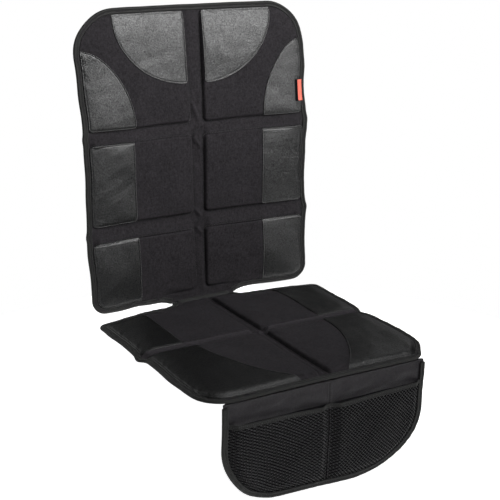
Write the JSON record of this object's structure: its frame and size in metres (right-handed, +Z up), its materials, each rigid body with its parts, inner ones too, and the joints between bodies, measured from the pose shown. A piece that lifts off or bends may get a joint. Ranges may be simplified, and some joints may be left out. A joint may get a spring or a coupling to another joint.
{
  "type": "car seat protector mat",
  "caption": "Padded fabric mat that covers a car seat's backrest and cushion under a child seat, with a hanging flap of mesh pockets in front.",
  "frame": {"origin": "underside of the seat panel, at the middle of that panel, where it lies on the seat cushion", "axes": "+X to the sitter's left as seen from the front (viewer's right), -Y towards the front edge and pocket flap, +Z up along the back panel"},
  "size_m": [0.4816, 0.5105, 0.7628],
  "materials": {
    "woven_cloth": "black-grey woven polyester, matt",
    "vinyl": "grey leather-grain vinyl, satin",
    "binding_tape": "woven binding tape, matt",
    "foam": "soft foam, hidden",
    "backing": "non-slip dotted backing",
    "netting": "open knitted mesh",
    "elastic": "ribbed elastic webbing",
    "tab_ribbon": "plain woven ribbon"
  },
  "bodies": {
    "root": {"back_face_cloth": "woven_cloth", "seat_face_cloth": "woven_cloth", "flap_cloth": "woven_cloth", "back_backing": "backing", "seat_backing": "backing", "back_edge_binding": "binding_tape", "seat_edge_binding": "binding_tape", "flap_edge_binding": "binding_tape", "crease_seam_tape": "binding_tape", "pocket_top_tape": "binding_tape", "headrest_strap": "elastic", "edge_tab": "tab_ribbon", "pocket_net_left": "netting", "pocket_net_right": "netting", "foam_back_upper_left": "foam", "foam_back_upper_right": "foam", "foam_back_middle_left": "foam", "foam_back_middle_right": "foam", "foam_back_lower_left": "foam", "foam_back_lower_right": "foam", "foam_seat_rear_left": "foam", "foam_seat_rear_right": "foam", "foam_seat_front_left": "foam", "foam_seat_front_right": "foam", "patch_headrest_left": "vinyl", "patch_headrest_right": "vinyl", "patch_shoulder_left": "vinyl", "patch_shoulder_right": "vinyl", "patch_back_middle_left": "vinyl", "patch_back_middle_right": "vinyl", "patch_back_lower_left": "vinyl", "patch_back_lower_right": "vinyl", "patch_seat_rear_left": "vinyl", "patch_seat_rear_right": "vinyl", "patch_seat_front_left": "vinyl", "patch_seat_front_right": "vinyl"}
  },
  "joints": []
}
